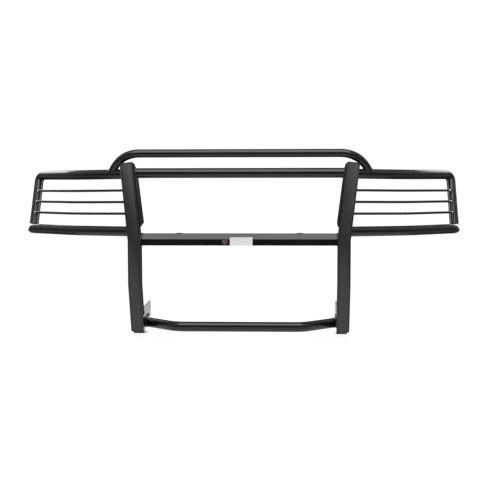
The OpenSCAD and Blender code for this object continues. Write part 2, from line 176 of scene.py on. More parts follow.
def two_tones(tree, value, dark, light, start=0.35, end=0.65):
    ramp = add_node(tree, "ShaderNodeValToRGB")
    ramp.color_ramp.elements[0].position = start
    ramp.color_ramp.elements[0].color = (*dark, 1)
    ramp.color_ramp.elements[1].position = end
    ramp.color_ramp.elements[1].color = (*light, 1)
    tree.links.new(value, ramp.inputs["Fac"])
    return ramp.outputs["Color"]


def bump(tree, height, strength, distance, below=None):
    node = add_node(tree, "ShaderNodeBump", Strength=strength, Distance=distance, Height=height)
    if below is not None:
        tree.links.new(below, node.inputs["Normal"])
    return node.outputs["Normal"]


def finish_shader(tree, shader, colour, roughness, normal, **constants):
    tree.links.new(colour, shader.inputs["Base Color"])
    tree.links.new(roughness, shader.inputs["Roughness"])
    tree.links.new(normal, shader.inputs["Normal"])
    for name, value in constants.items():
        shader.inputs[name.replace("_", " ")].default_value = value


# %% [markdown]
# ## The powder coat
# The frame's black coat is a polyester powder that is baked on. It comes out
# semi-gloss with a faint orange peel: soft dimples a few millimetres wide,
# with a much finer grain over them. A clear highlight along each tube shows
# both. The coat could be one flat glossy black, but then every tube would
# reflect like a mirror, so the roughness and the colour wander a little.

# %% Powder coat


def powder_coat():
    material, tree, shader, place = new_material("black_powder_coat")
    drift = noise(tree, place, 9, 3)
    grain = noise(tree, place, 900, 2)
    peel = noise(tree, place, 260, 2, 0.45)
    colour = two_tones(tree, drift, (0.0036, 0.0037, 0.0038), (0.0056, 0.0057, 0.0058))
    roughness = spread(tree, drift, 0.15, 0.2)
    fine = bump(tree, grain, 0.05, 0.0004)
    normal = bump(tree, peel, 0.07, 0.0006, fine)
    finish_shader(tree, shader, colour, roughness, normal, IOR=1.45)
    return material


coat = powder_coat()
print("finish:", coat.name)

# %% [markdown]
# ## The pad rubber
# Each riser wears a moulded rubber strip. Rubber from a mould is matt, with a
# leathery grain and lengthwise flow marks, and it is a shade lighter than the
# coat beside it. The flow marks are noise that is stretched along Z by a
# Mapping node, so that they run down the strip.

# %% Pad rubber
FLOW_STRETCH = (1, 1, 0.03)


def pad_rubber():
    material, tree, shader, place = new_material("pad_rubber")
    along = add_node(tree, "ShaderNodeMapping", Vector=place, Scale=FLOW_STRETCH)
    flow = noise(tree, along.outputs["Vector"], 170, 3)
    drift = noise(tree, place, 7, 3)
    grain = noise(tree, place, 700, 3, 0.6)
    colour = two_tones(tree, drift, (0.006, 0.0064, 0.0065), (0.0086, 0.0091, 0.0092))
    roughness = spread(tree, flow, 0.40, 0.48)
    lines = bump(tree, flow, 0.10, 0.0006)
    normal = bump(tree, grain, 0.22, 0.0004, lines)
    finish_shader(tree, shader, colour, roughness, normal, Specular_IOR_Level=0.6)
    return material


rubber = pad_rubber()
print("finish:", rubber.name)

# %% [markdown]
# ## Zinc
# The brackets, bolts and nuts are zinc plated. Barrel plating is dull and a
# little cloudy, with a crystal pattern of patches that each reflect slightly
# differently: a Voronoi texture gives each patch its own tone. Bought bolts
# are brighter than the cut plates, so the same finish is made twice.

# %% Zinc plating


def zinc(name, dark, light, rough_low, rough_high):
    material, tree, shader, place = new_material(name)
    patches = add_node(tree, "ShaderNodeTexVoronoi", Vector=place, Scale=160.0)
    tone = add_node(tree, "ShaderNodeSeparateColor", Color=patches.outputs["Color"])
    cloud = noise(tree, place, 22, 4)
    mixed = add_node(tree, "ShaderNodeMath", {"operation": "MULTIPLY_ADD"})
    tree.links.new(tone.outputs["Red"], mixed.inputs[0])
    mixed.inputs[1].default_value = 0.35
    tree.links.new(cloud, mixed.inputs[2])
    colour = two_tones(tree, mixed.outputs["Value"], dark, light, 0.35, 0.95)
    roughness = spread(tree, cloud, rough_low, rough_high)
    normal = bump(tree, noise(tree, place, 500, 3), 0.12, 0.0003)
    finish_shader(tree, shader, colour, roughness, normal, Metallic=0.85)
    return material


plate_zinc = zinc("zinc_plate", (0.46, 0.47, 0.44), (0.68, 0.69, 0.65), 0.42, 0.58)
bolt_zinc = zinc("zinc_fasteners", (0.50, 0.51, 0.50), (0.72, 0.73, 0.72), 0.26, 0.38)
print("finishes:", plate_zinc.name, bolt_zinc.name)

# %% [markdown]
# ## Plastics
# The end caps and the hole plugs are moulded in black plastic with a fine
# spark-eroded grain. The badge is a glossy white label on a plate, and its
# button is a dark reddish grey. One function makes all three, from two tones,
# a range of roughness and the strength of the grain.

# %% Plastics


def plastic(name, dark, light, rough_low, rough_high, grain, coat_weight=0.0):
    material, tree, shader, place = new_material(name)
    drift = noise(tree, place, 30, 3)
    colour = two_tones(tree, drift, dark, light)
    roughness = spread(tree, drift, rough_low, rough_high)
    normal = bump(tree, noise(tree, place, 1400, 2), grain, 0.0003)
    finish_shader(tree, shader, colour, roughness, normal, Coat_Weight=coat_weight)
    return material


cap_plastic = plastic("black_plastic", (0.012, 0.012, 0.012), (0.02, 0.02, 0.02), 0.4, 0.5, 0.2)
label_white = plastic("badge_white", (0.68, 0.68, 0.67), (0.71, 0.71, 0.70), 0.25, 0.34, 0.04,
                      0.3)
button_dark = plastic("badge_dark", (0.06, 0.03, 0.03), (0.09, 0.055, 0.053), 0.28, 0.4, 0.06,
                      0.2)
print("finishes:", cap_plastic.name, label_white.name, button_dark.name)

# %% [markdown]
# ## Bent tube
# A tube bender makes straight legs joined by arcs of one radius. The same is
# done here: a ring of vertices is extruded along each leg, and spun round the
# centre of each bend. That gives smooth arcs with even rings, where a curve
# object would spread its points along the whole path.

# %% Sweep a ring along legs and bends
BEND_STEP = math.radians(4)


def moved(bm, geometry, offset):
    verts = [g for g in geometry if isinstance(g, bmesh.types.BMVert)]
    bmesh.ops.translate(bm, verts=verts, vec=offset)


def only_edges(geometry):
    return [g for g in geometry if isinstance(g, bmesh.types.BMEdge)]


def sweep_ring(bm, ring, points, radii):
    """Carries a ring of edges along a path whose corners have bend radii."""
    here = points[0]
    for i in range(1, len(points)):
        along = (points[i] - points[i - 1]).normalized()
        run_out, angle = 0.0, 0.0
        if i < len(points) - 1:
            onward = (points[i + 1] - points[i]).normalized()
            angle = along.angle(onward)
            run_out = radii[i] * math.tan(angle / 2)
        leg_end = points[i] - along * run_out
        made = bmesh.ops.extrude_edge_only(bm, edges=ring)["geom"]
        moved(bm, made, leg_end - here)
        ring = only_edges(made)
        here = leg_end
        if angle:
            normal = along.cross(onward).normalized()
            centre = leg_end + normal.cross(along) * radii[i]
            made = bmesh.ops.spin(bm, geom=ring, cent=centre, axis=normal, angle=angle,
                                  steps=max(3, round(angle / BEND_STEP)))["geom_last"]
            ring = only_edges(made)
            here = points[i] + onward * run_out
    return ring


def bar_mesh(points, radii, radius, sides=40):
    bm = bmesh.new()
    along = (points[1] - points[0]).normalized()
    turn = along.to_track_quat("Z", "Y").to_matrix().to_4x4()
    bmesh.ops.create_circle(bm, segments=sides, radius=radius, cap_ends=False,
                            matrix=Matrix.Translation(points[0]) @ turn)
    sweep_ring(bm, bm.edges[:], points, radii)
    close_ends(bm)
    return bm


def close_ends(bm):
    open_edges = [e for e in bm.edges if e.is_boundary]
    bmesh.ops.holes_fill(bm, edges=open_edges, sides=0)
    bmesh.ops.recalc_face_normals(bm, faces=bm.faces)


def trim(bm, place, outwards):
    """Saws off everything past a plane and closes the cut."""
    bmesh.ops.bisect_plane(bm, geom=bm.verts[:] + bm.edges[:] + bm.faces[:], dist=1e-6,
                           plane_co=place, plane_no=outwards, clear_outer=True)
    close_ends(bm)


# %% [markdown]
# ## From bmesh to a finished piece
# Every piece ends the same way: its mesh gets a material, its faces are shaded
# smooth up to a sharp-edge angle, it rides on the model's one body, and it
# takes over the CAD node that it stands for.

# %% Finish a piece
SHARP = math.radians(35)


def finished(name, bm, material, replaced=(), sharp=SHARP):
    bmesh.ops.remove_doubles(bm, verts=bm.verts, dist=1e-7)
    mesh = bpy.data.meshes.new(name)
    bm.to_mesh(mesh)
    bm.free()
    mesh.materials.append(material)
    mesh.shade_smooth()
    mesh.set_sharp_from_angle(angle=sharp)
    piece = bpy.data.objects.new(name, mesh)
    bpy.context.scene.collection.objects.link(piece)
    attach(piece, BODY)
    if replaced:
        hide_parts(*replaced)
    return piece


def mirrored(bm):
    """A copy of a right-hand shape for the left-hand side."""
    other = bm.copy()
    bmesh.ops.scale(other, vec=(-1, 1, 1), verts=other.verts)
    bmesh.ops.reverse_faces(other, faces=other.faces)
    return other


SIDES = ("right", "left")


def both_sides(name, bm, material, replaces_node=True):
    """Finishes a right-hand piece and its mirror image."""
    made = []
    for suffix, shape in zip(SIDES, (bm.copy(), mirrored(bm))):
        node = f"{name}_{suffix}"
        made.append(finished(f"{node}_finished", shape, material,
                             (node,) if replaces_node else ()))
    bm.free()
    return made


def faces_of(pieces):
    return sum(len(p.data.polygons) for p in pieces)


# %% [markdown]
# ## The crossbars and the hoop
# The top crossbar is a straight tube between the two side plates. The lower
# one bends back at both ends to meet the risers lower down. The hoop is one
# thinner tube that is bent down at both ends onto the wings. The ends are
# sawn along the faces that they are welded to: the leaning side plates for the
# top bar and the upright risers for the lower one.

# %% Crossbars and hoop
LEAN_OUT = Vector((math.cos(LEAN), 0, -math.sin(LEAN)))


def lean_face(across):
    """A point on the face of the leaning riser, that far across it."""
    return spot(RISER_X, 0, LEAN_Z) + LEAN_OUT * across * MM


TOP_BAR_Y, TOP_BAR_Z = 80, 635
LOW_BAR_Y, LOW_BAR_Z, LOW_BEND_X, LOW_END_Y, LOW_BEND_R = 27, 51, 243, 162, 90
HOOP_Y, HOOP_Z, HOOP_CORNER_X, HOOP_BEND_R = 87, 710, 451, 115
WING_TOP = [spot(RISER_X, 80, 632), spot(635, 182, 626), spot(851, 425, 620), spot(851, 303, 410)]
WING_LOW = [spot(RISER_X, 24, 415), spot(635, 110, 412.5), spot(851, 260, 410),
            spot(851, 332, 410)]
WING_TOP_RADII = [0, 0.4, 0.022, 0]
WING_LOW_RADII = [0, 0.4, 0.057, 0]


def flipped(point):
    return Vector((-point.x, point.y, point.z))


BAR_SPARE = 20      # left on each end of a bar, to be sawn off


def make_top_bar():
    half = RISER_X + BAR_SPARE
    bm = bar_mesh([spot(-half, TOP_BAR_Y, TOP_BAR_Z), spot(half, TOP_BAR_Y, TOP_BAR_Z)],
                  [0, 0], TUBE_R)
    cut = lean_face(-RISER_W / 2 - SIDE_PLATE_T)
    trim(bm, cut, LEAN_OUT)
    trim(bm, flipped(cut), flipped(LEAN_OUT))
    return finished("top_crossbar_tube", bm, coat, ("top_crossbar",))


def make_low_bar():
    end = spot(RISER_X, LOW_END_Y, LOW_BAR_Z)
    bend = spot(LOW_BEND_X, LOW_BAR_Y, LOW_BAR_Z)
    bm = bar_mesh([flipped(end), flipped(bend), bend, end],
                  [0, LOW_BEND_R * MM, LOW_BEND_R * MM, 0], TUBE_R)
    face = spot(RISER_X - RISER_W / 2, 0, 0)
    trim(bm, face, Vector((1, 0, 0)))
    trim(bm, flipped(face), Vector((-1, 0, 0)))
    return finished("lower_crossbar_tube", bm, coat, ("lower_crossbar",))


HOOP_FOOT_SHARE = 0.45      # of the way from the riser to the wing's knee
HOOP_FOOT = between(WING_TOP[0], WING_TOP[1], HOOP_FOOT_SHARE)
HOOP_CORNER = spot(HOOP_CORNER_X, HOOP_Y, HOOP_Z)


def make_hoop():
    bend = HOOP_BEND_R * MM
    bm = bar_mesh([flipped(HOOP_FOOT), flipped(HOOP_CORNER), HOOP_CORNER, HOOP_FOOT],
                  [0, bend, bend, 0], HOOP_R)
    return finished("top_hoop_tube", bm, coat, ("top_hoop",))


bars = [make_top_bar(), make_low_bar(), make_hoop()]
print("bars:", faces_of(bars), "faces")
for node, height, radius in (("top_crossbar", TOP_BAR_Z, TUBE_R), ("top_hoop", HOOP_Z, HOOP_R)):
    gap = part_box(node)[1].z - (height * MM + radius)
    print(node, "is", round(gap / MM, 2), "mm lower than its frame")

# %% [markdown]
# ## The headlight wings
# On each side one tube runs out from the riser, turns down at the corner and
# lands as a post on a second tube. Three solid rods fill the gap and turn back
# to meet the post. The right-hand side is made, and the left is its mirror
# image, as a welder would do with one jig turned over.

# %% Wings and slats
SLAT_MIDDLE, SLAT_PITCH = 0.49, 44
SLAT_CORNER = (826, 296)
SLAT_STEP = (3, -17)
SLAT_KNEE_FORE = 22 * MM
SLAT_RADII = [0, 0.3, 0.022, 0]
SLAT_NAMES = ("upper", "middle", "lower")


def outside_riser(bm):
    trim(bm, lean_face(RISER_W / 2), -LEAN_OUT)
    return bm


def slat_path(i):
    share = SLAT_MIDDLE + (i - 1) * SLAT_PITCH * MM / (WING_TOP[0].z - WING_LOW[0].z)
    end = between(WING_TOP[2], WING_TOP[3], share)
    corner = spot(SLAT_CORNER[0] + SLAT_STEP[0] * i, SLAT_CORNER[1] + SLAT_STEP[1] * i, 0)
    corner.z = end.z
    knee = between(WING_TOP[1], WING_LOW[1], share) - Vector((0, SLAT_KNEE_FORE, 0))
    return [between(WING_TOP[0], WING_LOW[0], share), knee, corner, end]


wings = both_sides("wing_top_tube", outside_riser(bar_mesh(WING_TOP, WING_TOP_RADII, TUBE_R)),
                   coat)
wings += both_sides("wing_bottom_tube", outside_riser(bar_mesh(WING_LOW, WING_LOW_RADII, TUBE_R)),
                    coat)
for i, level in enumerate(SLAT_NAMES):
    rod = outside_riser(bar_mesh(slat_path(i), SLAT_RADII, SLAT_R, 20))
    for suffix, shape in zip(SIDES, (rod.copy(), mirrored(rod))):
        node = f"slat_{level}_{suffix}"
        wings.append(finished(f"{node}_rod", shape, coat, (node,)))
    rod.free()
print("wings:", len(wings), "pieces,", faces_of(wings), "faces")

# %% [markdown]
# ## Plates and channels
# The risers, side plates, tabs, feet, brackets and the folded middle bar are
# cut and bent sheet steel. Their shape is right in the CAD model, but its
# edges are perfectly sharp, and a sharp edge never catches the light. So each
# node's mesh is copied, its loose triangles are merged and dissolved into flat
# faces, and a Bevel modifier rounds the edges as a coat of powder does.

# %% Round the edges of sheet metal
FLAT = math.radians(1)


def merged_copy(node):
    bm = bmesh.new()
    bm.from_mesh(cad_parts[node].data)
    bmesh.ops.remove_doubles(bm, verts=bm.verts, dist=2e-6)
    bmesh.ops.dissolve_limit(bm, angle_limit=FLAT, verts=bm.verts, edges=bm.edges)
    return bm


def round_edges(piece, width, segments=3, angle=30):
    modifier = piece.modifiers.new("rounded_edges", "BEVEL")
    modifier.width = width
    modifier.segments = segments
    modifier.limit_method = "ANGLE"
    modifier.angle_limit = math.radians(angle)
    modifier.harden_normals = True
    modifier.use_clamp_overlap = True


def dressed(node, width, material):
    piece = finished(f"{node}_finished", merged_copy(node), material, (node,))
    round_edges(piece, width)
    return piece


SHEET_EDGE = 0.7 * MM
FOLD_EDGE = 1.4 * MM
plates = []
for side in SIDES:
    plates.append(dressed(f"riser_{side}", FOLD_EDGE, coat))
    for part in ("side_plate", "foot", "bracket_tab"):
        plates.append(dressed(f"{part}_{side}", SHEET_EDGE, coat))
    plates.append(dressed(f"frame_bracket_{side}", SHEET_EDGE, plate_zinc))
plates.append(dressed("mid_crossbar", FOLD_EDGE, coat))
print("plates:", len(plates), "pieces,", faces_of(plates), "faces")

# %% [markdown]
# ## The rubber pads
# A pad is a moulded strip with rounded corners, as thick all over, that follows
# the riser's bends. A narrow groove runs just inside its edge, where the
# strip's soft face meets its stiffer rim. The groove is made as a sculptor
# would: the front faces are inset, a thin band of them is pushed in, and the
# rest comes back up.

# %% Pads with a groove inside their edge
PAD_RIM = 3.2 * MM
GROOVE_W = 1.2 * MM
GROOVE_D = 1.3 * MM
SLIVER = 1e-4       # square metres


def front_faces(bm):
    """The faces of the pad that look forward: its leaning, upright and swept stretches."""
    forward = [f for f in bm.faces if f.normal.y < -0.8]
    return [f for f in forward if f.calc_area() > SLIVER]


def make_pad(side):
    node = f"riser_pad_{side}"
    bm = merged_copy(node)
    bmesh.ops.recalc_face_normals(bm, faces=bm.faces)
    face = front_faces(bm)
    for thickness, depth in ((PAD_RIM, 0), (GROOVE_W, -GROOVE_D), (GROOVE_W, GROOVE_D)):
        bmesh.ops.inset_region(bm, faces=face, thickness=thickness, depth=depth,
                               use_even_offset=True, use_boundary=True)
    piece = finished(f"{node}_strip", bm, rubber, (node,))
    round_edges(piece, 1.6 * MM, 4, 25)
    return piece


pads = [make_pad("right"), make_pad("left")]
print("pads:", faces_of(pads), "faces")

# %% [markdown]
# ## Weld beads
# The tubes meet the risers and each other in fillet welds: a puddle of metal
# drawn round the joint in steps, which leaves ripples like stacked coins. One
# function makes them all. A small ring is spun round the tube into a doughnut,
# then each of its points slides along the tube until it lies on the surface
# that the tube meets, flat or round, and every other step swells a little.

# %% A bead round the end of a tube
RIPPLE = 3.2 * MM
SWELL = 0.14
BEAD_SIDES = 8


def on_plane(place, normal):
    """The distance from a point to a plane, along a direction."""
    return lambda start, way: (place - start).dot(normal) / way.dot(normal)


def on_cylinder(place, axis, radius):
    """The distance from a point to a round tube, along a direction."""

    def reach(start, way):
        across = way - axis * way.dot(axis)
        offset = (start - place) - axis * (start - place).dot(axis)
        a, b = across.dot(across), 2 * across.dot(offset)
        inside = max(b * b - 4 * a * (offset.dot(offset) - radius * radius), 0)
        return (-b - math.sqrt(inside)) / (2 * a)

    return reach


def ring_bead(bm, place, way, radius, reach, bead_r):
    """A rippled bead round a tube that runs along way to meet a surface."""
    fresh = bmesh.new()
    side = way.orthogonal().normalized()
    turn = Matrix((side, way, side.cross(way))).transposed().to_4x4()
    bmesh.ops.create_circle(fresh, segments=BEAD_SIDES, radius=bead_r,
                            matrix=Matrix.Translation(place + side * radius) @ turn)
    steps = max(24, 2 * round(math.tau * radius / RIPPLE))
    bmesh.ops.spin(fresh, geom=fresh.verts[:] + fresh.edges[:], cent=place, axis=way,
                   angle=math.tau, steps=steps, use_merge=True)
    bmesh.ops.remove_doubles(fresh, verts=fresh.verts, dist=1e-6)
    for vert in fresh.verts:
        offset = vert.co - place
        outward = (offset - way * offset.dot(way)).normalized()
        core = place + outward * radius
        turn_share = math.atan2(outward.dot(side.cross(way)), outward.dot(side)) / math.tau
        swell = 1 + SWELL * math.cos(turn_share * steps / 2 * math.tau)
        vert.co = core + (vert.co - core) * swell + way * reach(core, way)
    join(bm, fresh)


def join(bm, fresh):
    """Adds one shape to another."""
    bmesh.ops.recalc_face_normals(fresh, faces=fresh.faces)
    mesh = bpy.data.meshes.new("join")
    fresh.to_mesh(mesh)
    fresh.free()
    bm.from_mesh(mesh)
    bpy.data.meshes.remove(mesh)


# %% [markdown]
# Plates are welded along straight lines, so a second function draws a bead
# from point to point: a small ring is extruded in short steps, and every other
# ring swells. Its ends are closed and sit inside the metal.

# %% A bead along a line


def line_bead(bm, start, end, bead_r):
    fresh = bmesh.new()
    way = (end - start).normalized()
    count = max(4, 2 * round((end - start).length / RIPPLE))
    step = (end - start) / count
    turn = way.to_track_quat("Z", "Y").to_matrix().to_4x4()
    bmesh.ops.create_circle(fresh, segments=BEAD_SIDES, radius=bead_r,
                            matrix=Matrix.Translation(start) @ turn)
    edges = fresh.edges[:]
    for i in range(count):
        made = bmesh.ops.extrude_edge_only(fresh, edges=edges)["geom"]
        moved(fresh, made, step)
        edges = only_edges(made)
        growth = 1 + SWELL if i % 2 == 0 else 1 / (1 + SWELL)
        centre = start + step * (i + 1)
        bmesh.ops.scale(fresh, vec=(growth,) * 3, space=Matrix.Translation(-centre),
                        verts=[g for g in made if isinstance(g, bmesh.types.BMVert)])
    close_ends(fresh)
    join(bm, fresh)


# %% [markdown]
# Now the beads are drawn: round every tube end, round the foot of the post and
# of the hoop, along the folded bar's outline and along both edges of the foot.

# %% All the beads of one side
BEAD = 2.4 * MM
SLAT_BEAD = 1.5 * MM
RUN_UP = 60 * MM         # how far before the joint a bead starts to look for its surface
SLAT_RUN_UP = 40 * MM
LOW_BAR_SHARE = 0.6      # where the lower bar's bead starts, from its bend to its end
FOOT_BEAD_IN = 4 * MM


def direction(points, i):
    return (points[i + 1] - points[i]).normalized()


def side_beads():
    bm = bmesh.new()
    outer = on_plane(lean_face(RISER_W / 2), LEAN_OUT)
    for path, radius, bead_r in ((WING_TOP, TUBE_R, BEAD), (WING_LOW, TUBE_R, BEAD)):
        ring_bead(bm, path[0], direction(path, 0), radius, outer, bead_r)
    post = direction(WING_TOP, 2)
    low_tube = on_cylinder(WING_LOW[3], direction(WING_LOW, 2), TUBE_R)
    ring_bead(bm, WING_TOP[3] - post * RUN_UP, post, TUBE_R, low_tube, BEAD)
    leg = (HOOP_FOOT - HOOP_CORNER).normalized()
    top_tube = on_cylinder(WING_TOP[0], direction(WING_TOP, 0), TUBE_R)
    ring_bead(bm, HOOP_FOOT - leg * RUN_UP, leg, HOOP_R, top_tube, BEAD)
    post_tube = on_cylinder(WING_TOP[3], post, TUBE_R)
    for i in range(len(SLAT_NAMES)):
        path = slat_path(i)
        ring_bead(bm, path[0], direction(path, 0), SLAT_R, outer, SLAT_BEAD)
        last = direction(path, 2)
        ring_bead(bm, path[3] - last * SLAT_RUN_UP, last, SLAT_R, post_tube, SLAT_BEAD)
    inner = on_plane(lean_face(-RISER_W / 2 - SIDE_PLATE_T), LEAN_OUT)
    ring_bead(bm, spot(RISER_X - 60, TOP_BAR_Y, TOP_BAR_Z), Vector((1, 0, 0)), TUBE_R, inner,
              BEAD)
    end = spot(RISER_X, LOW_END_Y, LOW_BAR_Z)
    bend = spot(LOW_BEND_X, LOW_BAR_Y, LOW_BAR_Z)
    ring_bead(bm, between(bend, end, LOW_BAR_SHARE), (end - bend).normalized(), TUBE_R,
              on_plane(spot(RISER_X - RISER_W / 2, 0, 0), Vector((1, 0, 0))), BEAD)
    return bm


def outline_beads(bm):
    """Beads along the folded bar's end and the edges of the plates."""
    low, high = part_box("mid_crossbar")
    x = (RISER_X - RISER_W / 2) * MM
    middle = (low.z + high.z) / 2
    fold = between(low.y, high.y, 1 / 3)
    outline = [Vector((x, high.y, low.z)), Vector((x, low.y, low.z)),
               Vector((x, low.y, middle + 2 * MM)), Vector((x, fold, high.z)),
               Vector((x, high.y, high.z))]
    for start, end in zip(outline, outline[1:]):
        line_bead(bm, start, end, BEAD)
    foot_low, foot_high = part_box("foot_right")
    channel_low, channel_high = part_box("riser_right")
    for x in (foot_low.x, foot_high.x):
        line_bead(bm, Vector((x, foot_low.y + FOOT_BEAD_IN, foot_high.z - 1 * MM)),
                  Vector((x, channel_high.y - FOOT_BEAD_IN, channel_low.z + 1 * MM)), SLAT_BEAD)
    return bm


def ground_flush(bm):
    """Grinds the beads at the wing's tip flush, so that they don't widen the guard."""
    for vert in bm.verts:
        vert.co.x = min(vert.co.x, frame_high.x)
    return bm


beads = both_sides("weld_beads", ground_flush(outline_beads(side_beads())), coat,
                   replaces_node=False)
print("weld beads:", faces_of(beads), "faces")

# %% [markdown]
# ## Bolts, washers and nuts
# Each bracket hangs on two M12 bolts. A forged bolt head has chamfered corners
# and a rolled thread, so the head is a hexagon whose outer edges are bevelled,
# and the thread is a small ridge that is spun round the shank while it climbs
# one pitch a turn. A plain cylinder would do for the shank, but the end of the
# thread shows behind the nut.

# %% Fasteners
THREAD_PITCH = 1.75 * MM
THREAD_DEPTH = 0.55 * MM
HEX_CHAMFER = 1.1 * MM


def hexagon(bm, low, height, across_flats, chamfer_low, chamfer_high):
    made = bmesh.ops.create_cone(bm, segments=6, radius1=across_flats / math.sqrt(3),
                                 radius2=across_flats / math.sqrt(3), depth=height,
                                 cap_ends=True,
                                 matrix=Matrix.Translation((0, 0, low + height / 2)))
    rims = []
    for edge in {e for v in made["verts"] for e in v.link_edges}:
        zs = [v.co.z for v in edge.verts]
        at_low = max(zs) < low + height * 0.1
        at_high = min(zs) > low + height * 0.9
        if (at_low and chamfer_low) or (at_high and chamfer_high):
            rims.append(edge)
    if rims:
        bmesh.ops.bevel(bm, geom=rims, offset=HEX_CHAMFER, segments=2, affect="EDGES",
                        profile=0.5, material=-1)


LATHE_STEPS = 40


def lathe(bm, profile):
    """Turns an outline of radius and height round the Z axis."""
    verts = [bm.verts.new((r, 0, z)) for r, z in profile]
    edges = [bm.edges.new(pair) for pair in zip(verts, verts[1:])]
    bmesh.ops.spin(bm, geom=verts + edges, cent=(0, 0, 0), axis=(0, 0, 1), angle=math.tau,
                   steps=LATHE_STEPS, use_merge=True)
    bmesh.ops.remove_doubles(bm, verts=bm.verts, dist=1e-7)


def thread(bm, radius, low, high):
    """A helical ridge round a shank."""
    turns = (high - low) / THREAD_PITCH
    half = THREAD_PITCH * 0.42
    root = radius - THREAD_DEPTH
    verts = [bm.verts.new(p) for p in ((root, 0, low - half), (radius, 0, low - half * 0.15),
                                       (radius, 0, low + half * 0.15), (root, 0, low + half))]
    edges = [bm.edges.new(pair) for pair in zip(verts, verts[1:])]
    steps = round(turns * 20)
    bmesh.ops.spin(bm, geom=verts + edges, cent=(0, 0, 0), axis=(0, 0, 1),
                   dvec=(0, 0, (high - low) / steps), angle=math.tau * turns, steps=steps)


WASHER_T = 2.5 * MM
GRIP = 10 * MM
NUT_H = 10 * MM
HEAD_H = 7.5 * MM
HEAD_AF = 18 * MM
BOLT_TAIL = 5 * MM
BOLT_R = 6 * MM
BOLT_Y, BOLT_PITCH = 188, 32


def bolt_shape():
    bm = bmesh.new()
    hexagon(bm, -HEAD_H, HEAD_H, HEAD_AF, True, False)
    top = GRIP + 2 * WASHER_T + NUT_H + BOLT_TAIL
    core = BOLT_R - THREAD_DEPTH
    lathe(bm, [(0, -0.1 * MM), (BOLT_R, -0.1 * MM), (BOLT_R, GRIP), (core, GRIP + core * 0.1),
               (core, top - 1 * MM), (core - 1 * MM, top), (0, top)])
    thread(bm, BOLT_R, GRIP + THREAD_PITCH, top - 1.6 * MM)
    return bm


def washer_shape():
    bm = bmesh.new()
    inner, outer, edge = 6.5 * MM, 12 * MM, 0.4 * MM
    lathe(bm, [(inner, edge), (inner + edge, 0), (outer - edge, 0), (outer, edge),
               (outer, WASHER_T - edge), (outer - edge, WASHER_T), (inner + edge, WASHER_T),
               (inner, WASHER_T - edge), (inner, edge)])
    return bm


def nut_shape():
    bm = bmesh.new()
    hexagon(bm, 0, NUT_H, HEAD_AF, True, True)
    return bm


def at_each_bolt(shape, heights):
    """Copies a shape to both bolts of the right-hand bracket, at each height along them."""
    bm = bmesh.new()
    for y in (BOLT_Y, BOLT_Y + BOLT_PITCH):
        for height in heights:
            fresh = shape.copy()
            place = spot(RISER_X - RISER_W / 2, y, LOW_BAR_Z) + Vector((height, 0, 0))
            turn = Matrix.Rotation(math.pi / 2, 4, "Y")
            bmesh.ops.transform(fresh, matrix=Matrix.Translation(place) @ turn,
                                verts=fresh.verts)
            join(bm, fresh)
    shape.free()
    return bm


def whole_set(name, bm, node):
    other = mirrored(bm)
    join(bm, other)
    return finished(name, bm, bolt_zinc, (node,), math.radians(25))


fasteners = [
    whole_set("hex_bolts", at_each_bolt(bolt_shape(), [-WASHER_T]), "bracket_bolts"),
    whole_set("flat_washers", at_each_bolt(washer_shape(), [-WASHER_T, GRIP]),
              "bracket_washers"),
    whole_set("hex_nuts", at_each_bolt(nut_shape(), [GRIP + WASHER_T]), "bracket_nuts"),
]
print("fasteners:", faces_of(fasteners), "faces")

# %% [markdown]
# ## Caps and plugs
# The rear ends of the bottom wing tubes are closed by push-in caps, and the
# two holes for auxiliary lights by flanged plugs. Both are round mouldings, so
# their outlines are turned on a lathe: a domed head with a rounded rim, and
# ribs on the stem that grip the steel.

# %% Caps and plugs


RIB_START = 0.35        # of a rib's share of the stem
RIB_CREST = (0.18, 0.38)
RIB_END = 0.5


def ribbed_stem(radius, length, ribs, depth):
    """Outline of a stem below zero, from its tip up to the head."""
    outline = [(0, -length), (radius - depth * 1.5, -length)]
    for i in range(ribs):
        low = -length + length * (i + RIB_START) / (ribs + 0.5)
        outline += [(radius - depth, low), (radius, low + length * RIB_CREST[0] / ribs),
                    (radius, low + length * RIB_CREST[1] / ribs),
                    (radius - depth, low + length * RIB_END / ribs)]
    outline.append((radius - depth, 0))
    return outline


def domed_head(radius, height, crown_r):
    """Outline of a flat-domed head above zero."""
    return [(radius - 0.3 * MM, 0), (radius, 0.4 * MM), (radius, height * 0.55),
            (radius - 0.25 * (radius - crown_r), height * 0.8), (crown_r, height * 0.95),
            (crown_r * 0.55, height), (0, height)]


def make_caps():
    bm = bmesh.new()
    lathe(bm, ribbed_stem(17 * MM, 14 * MM, 3, 0.8 * MM) + domed_head(18.55 * MM, 3 * MM, 14 * MM))
    turn = Matrix.Rotation(-math.pi / 2, 4, "X")
    bmesh.ops.transform(bm, matrix=Matrix.Translation(WING_LOW[3]) @ turn, verts=bm.verts)
    bmesh.ops.recalc_face_normals(bm, faces=bm.faces)
    join(bm, mirrored(bm))
    return finished("wing_tube_caps", bm, cap_plastic, ("wing_end_caps",))


LIGHT_X = 230 * MM


def make_plugs():
    low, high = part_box("light_hole_plugs")
    bm = bmesh.new()
    lathe(bm, ribbed_stem(6.4 * MM, 6 * MM, 2, 0.5 * MM) + domed_head(12.9 * MM, 2.45 * MM, 9 * MM))
    place = Vector((LIGHT_X, (low.y + high.y) / 2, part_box("mid_crossbar")[1].z))
    bmesh.ops.translate(bm, verts=bm.verts, vec=place)
    bmesh.ops.recalc_face_normals(bm, faces=bm.faces)
    join(bm, mirrored(bm))
    return finished("light_plugs", bm, cap_plastic, ("light_hole_plugs",))


small = [make_caps(), make_plugs()]
print("caps and plugs:", faces_of(small), "faces")

# %% [markdown]
# ## The badge
# A white plate with rounded corners sits on the front of the folded bar, with
# a dark button beside it. Both stay blank: the plate gets a raised rim round a
# shallow field, and the button a turned rim round a dome.

